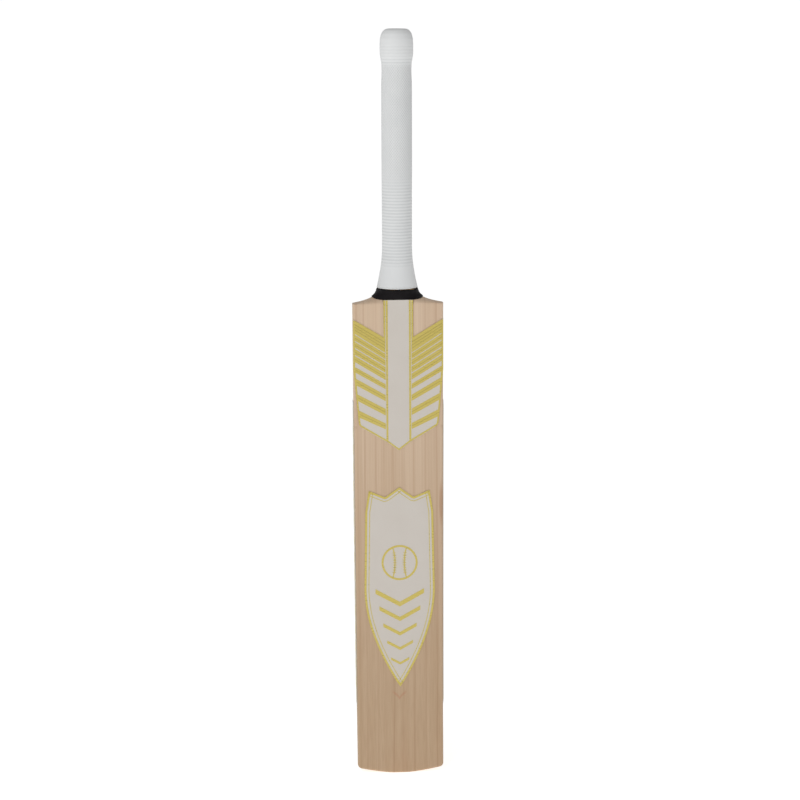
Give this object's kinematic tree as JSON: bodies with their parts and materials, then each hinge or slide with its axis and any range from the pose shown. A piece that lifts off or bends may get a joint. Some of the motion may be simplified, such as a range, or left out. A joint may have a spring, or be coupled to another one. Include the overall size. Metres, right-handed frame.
{
  "type": "cricket bat",
  "caption": "Long-handled cricket bat: pale willow blade with a V-spliced laminated cane handle, white rubber grip, black shoulder tape and white and gold stickers.",
  "frame": {"origin": "centre of the bounding box at the toe end", "axes": "+Z along the bat from the toe to the top of the handle, -Y out of the striking face, +X to the right as seen from in front of the face"},
  "size_m": [0.1076, 0.0722, 0.889],
  "materials": {
    "willow": "pressed and sanded bare willow with a straight grain",
    "cane": "smooth glued cane",
    "spring_rubber": "dull black rubber strip",
    "twine": "waxed linen twine set in glue",
    "grip_rubber": "matt white rubber with a fine raised lattice",
    "tape": "satin black adhesive cloth tape",
    "sticker": "white film printed with gold, lightly embossed"
  },
  "bodies": {
    "root": {"blade": "willow", "cane_front_left": "cane", "cane_front_middle": "cane", "cane_front_right": "cane", "cane_front_inner_left": "cane", "cane_front_inner_middle": "cane", "cane_front_inner_right": "cane", "cane_back_inner_left": "cane", "cane_back_inner_middle": "cane", "cane_back_inner_right": "cane", "cane_back_left": "cane", "cane_back_middle": "cane", "cane_back_right": "cane", "spring_front": "spring_rubber", "spring_middle": "spring_rubber", "spring_back": "spring_rubber", "twine_whipping": "twine", "grip": "grip_rubber", "shoulder_tape": "tape", "face_sticker_top": "sticker", "face_sticker_lower": "sticker", "edge_sticker_left": "sticker", "edge_sticker_right": "sticker", "back_sticker_left": "sticker", "back_sticker_right": "sticker"}
  },
  "joints": []
}
